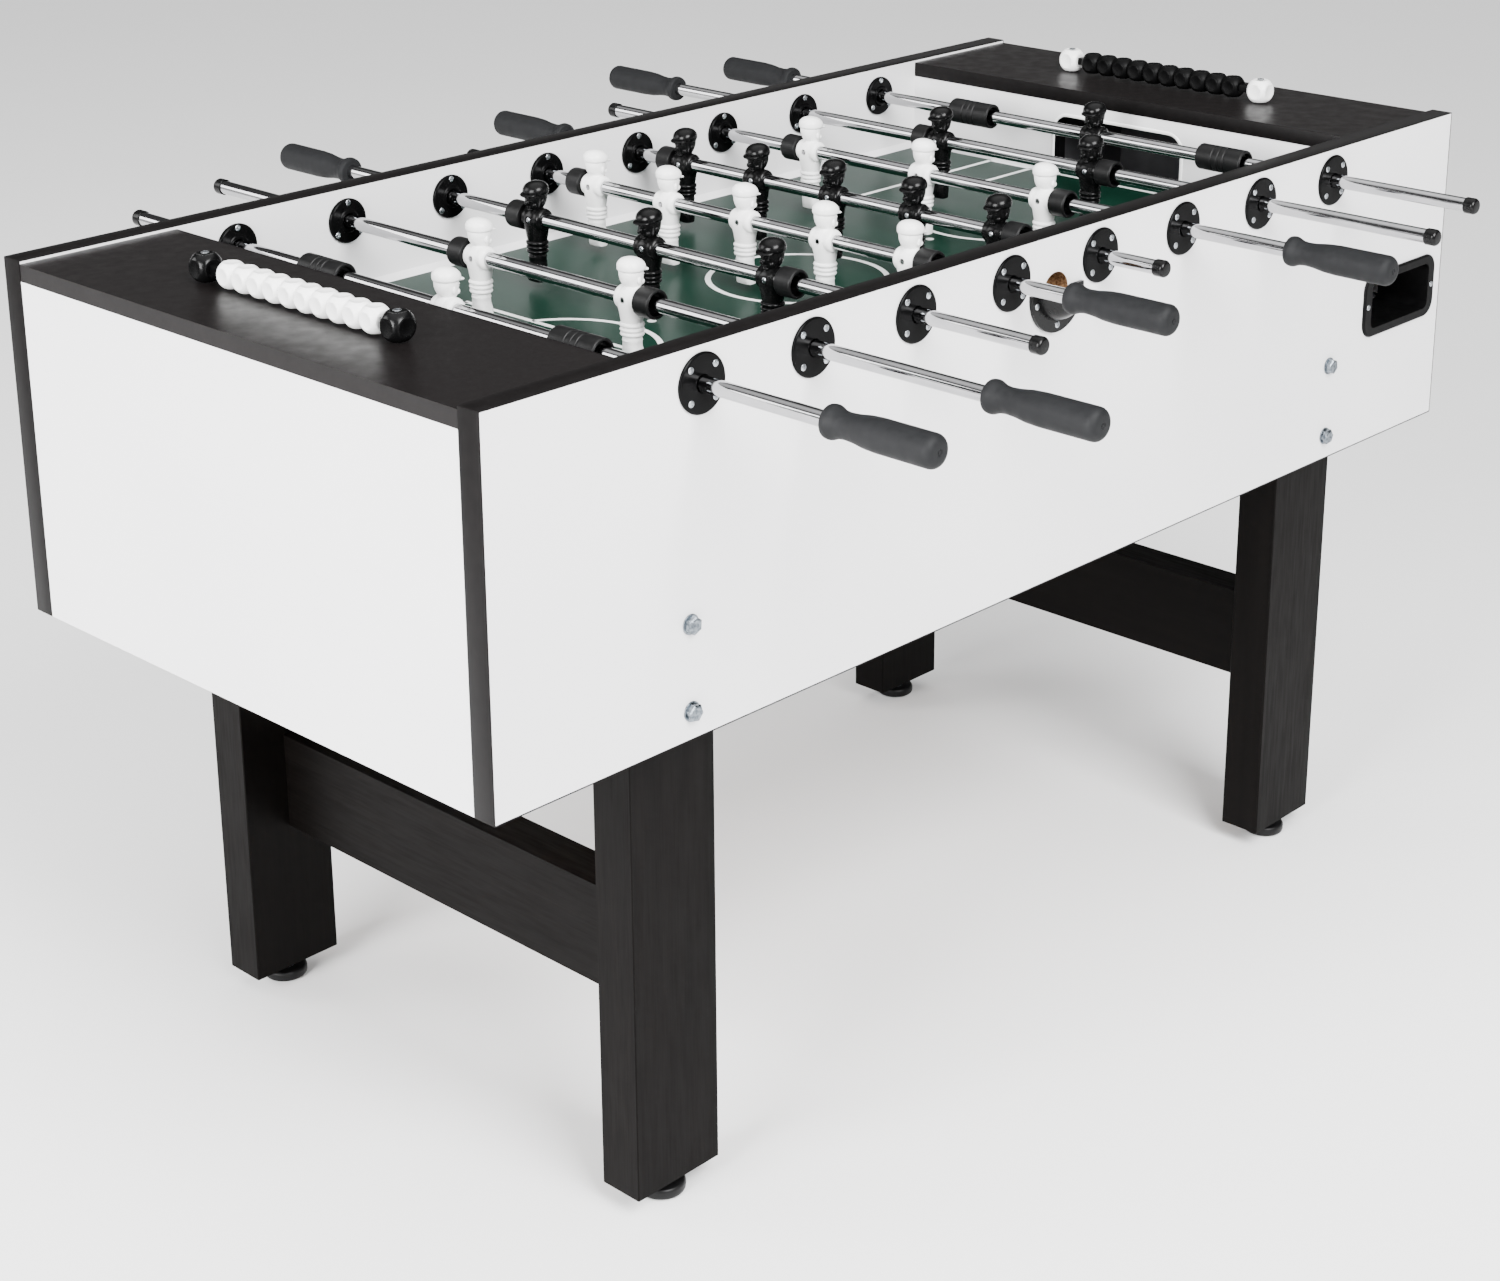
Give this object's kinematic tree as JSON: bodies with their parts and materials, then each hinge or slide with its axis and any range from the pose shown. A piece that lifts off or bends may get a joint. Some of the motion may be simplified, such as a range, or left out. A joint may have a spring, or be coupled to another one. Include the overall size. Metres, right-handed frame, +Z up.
{
  "type": "foosball table",
  "caption": "Full-size free-standing foosball table: box cabinet on square legs, sliding and turning player rods, goals with ball return, bead score counters.",
  "frame": {"origin": "on the floor, below the middle of the cabinet", "axes": "+X along the table from the near end to the far end, -Y is the side with the ball return, +Z up"},
  "size_m": [1.58, 1.4035, 0.9357],
  "materials": {
    "panel_white": "satin white melamine on chipboard with black edge banding",
    "board_black": "black laminate, fine texture",
    "field_green": "dark green laminate with white lines",
    "strip_white": "satin",
    "raw_board": "raw chipboard",
    "plastic_black": "satin black",
    "plastic_white": "satin white",
    "leg_black": "black foil with a fine grain",
    "foot_rubber": "matte",
    "grip_rubber": "matte",
    "bumper_rubber": "satin",
    "chrome": "polished",
    "zinc": "zinc plated"
  },
  "bodies": {
    "cabinet": {"side_panel_front": "panel_white", "side_panel_rear": "panel_white", "end_panels": "panel_white", "top_boards": "board_black", "playfield": "field_green", "side_strips": "strip_white", "underfield_boards": "raw_board", "goal_walls": "panel_white", "ball_chutes": "plastic_black", "return_cup": "plastic_black", "throw_in_cups": "plastic_black", "legs": "leg_black", "stretchers": "leg_black", "levelling_feet": "foot_rubber", "leg_bolts": "zinc", "bearing_flanges": "plastic_black", "plate_screws": "zinc", "score_frames": "plastic_black"},
    "score_row_near": {"score_beads_near": "plastic_white"},
    "score_row_far": {"score_beads_far": "plastic_black"},
    "liner_pair_1": {"liners_1": "plastic_black"},
    "rod_set_1": {"rod_1": "chrome", "men_1": "plastic_white", "grip_1": "grip_rubber", "bumpers_1": "bumper_rubber"},
    "liner_pair_2": {"liners_2": "plastic_black"},
    "rod_set_2": {"rod_2": "chrome", "men_2": "plastic_white", "grip_2": "grip_rubber", "bumpers_2": "bumper_rubber"},
    "liner_pair_3": {"liners_3": "plastic_black"},
    "rod_set_3": {"rod_3": "chrome", "men_3": "plastic_black", "grip_3": "grip_rubber", "bumpers_3": "bumper_rubber"},
    "liner_pair_4": {"liners_4": "plastic_black"},
    "rod_set_4": {"rod_4": "chrome", "men_4": "plastic_white", "grip_4": "grip_rubber", "bumpers_4": "bumper_rubber"},
    "liner_pair_5": {"liners_5": "plastic_black"},
    "rod_set_5": {"rod_5": "chrome", "men_5": "plastic_black", "grip_5": "grip_rubber", "bumpers_5": "bumper_rubber"},
    "liner_pair_6": {"liners_6": "plastic_black"},
    "rod_set_6": {"rod_6": "chrome", "men_6": "plastic_white", "grip_6": "grip_rubber", "bumpers_6": "bumper_rubber"},
    "liner_pair_7": {"liners_7": "plastic_black"},
    "rod_set_7": {"rod_7": "chrome", "men_7": "plastic_black", "grip_7": "grip_rubber", "bumpers_7": "bumper_rubber"},
    "liner_pair_8": {"liners_8": "plastic_black"},
    "rod_set_8": {"rod_8": "chrome", "men_8": "plastic_black", "grip_8": "grip_rubber", "bumpers_8": "bumper_rubber"}
  },
  "joints": [
    {"name": "score_near_slide", "type": "slide", "parent": "cabinet", "child": "score_row_near", "axis": [0, 1, 0], "range_m": [-0.0058, 0.0168]},
    {"name": "score_far_slide", "type": "slide", "parent": "cabinet", "child": "score_row_far", "axis": [0, 1, 0], "range_m": [-0.0143, 0.0083]},
    {"name": "rod_1_spin", "type": "hinge", "parent": "cabinet", "child": "liner_pair_1", "pos_m": [-0.525, 0, 0.871], "axis": [0, 1, 0], "continuous": true},
    {"name": "rod_1_slide", "type": "slide", "parent": "liner_pair_1", "child": "rod_set_1", "axis": [0, 1, 0], "range_m": [-0.097, 0.119]},
    {"name": "rod_2_spin", "type": "hinge", "parent": "cabinet", "child": "liner_pair_2", "pos_m": [-0.375, 0, 0.871], "axis": [0, 1, 0], "continuous": true},
    {"name": "rod_2_slide", "type": "slide", "parent": "liner_pair_2", "child": "rod_set_2", "axis": [0, 1, 0], "range_m": [-0.17725, 0.18425]},
    {"name": "rod_3_spin", "type": "hinge", "parent": "cabinet", "child": "liner_pair_3", "pos_m": [-0.225, 0, 0.871], "axis": [0, 1, 0], "continuous": true},
    {"name": "rod_3_slide", "type": "slide", "parent": "liner_pair_3", "child": "rod_set_3", "axis": [0, 1, 0], "range_m": [-0.1235, 0.1075]},
    {"name": "rod_4_spin", "type": "hinge", "parent": "cabinet", "child": "liner_pair_4", "pos_m": [-0.075, 0, 0.871], "axis": [0, 1, 0], "continuous": true},
    {"name": "rod_4_slide", "type": "slide", "parent": "liner_pair_4", "child": "rod_set_4", "axis": [0, 1, 0], "range_m": [-0.0655, 0.0445]},
    {"name": "rod_5_spin", "type": "hinge", "parent": "cabinet", "child": "liner_pair_5", "pos_m": [0.075, 0, 0.871], "axis": [0, 1, 0], "continuous": true},
    {"name": "rod_5_slide", "type": "slide", "parent": "liner_pair_5", "child": "rod_set_5", "axis": [0, 1, 0], "range_m": [-0.0675, 0.0425]},
    {"name": "rod_6_spin", "type": "hinge", "parent": "cabinet", "child": "liner_pair_6", "pos_m": [0.225, 0, 0.871], "axis": [0, 1, 0], "continuous": true},
    {"name": "rod_6_slide", "type": "slide", "parent": "liner_pair_6", "child": "rod_set_6", "axis": [0, 1, 0], "range_m": [-0.121, 0.11]},
    {"name": "rod_7_spin", "type": "hinge", "parent": "cabinet", "child": "liner_pair_7", "pos_m": [0.375, 0, 0.871], "axis": [0, 1, 0], "continuous": true},
    {"name": "rod_7_slide", "type": "slide", "parent": "liner_pair_7", "child": "rod_set_7", "axis": [0, 1, 0], "range_m": [-0.16875, 0.19275]},
    {"name": "rod_8_spin", "type": "hinge", "parent": "cabinet", "child": "liner_pair_8", "pos_m": [0.525, 0, 0.871], "axis": [0, 1, 0], "continuous": true},
    {"name": "rod_8_slide", "type": "slide", "parent": "liner_pair_8", "child": "rod_set_8", "axis": [0, 1, 0], "range_m": [-0.088, 0.128]}
  ]
}
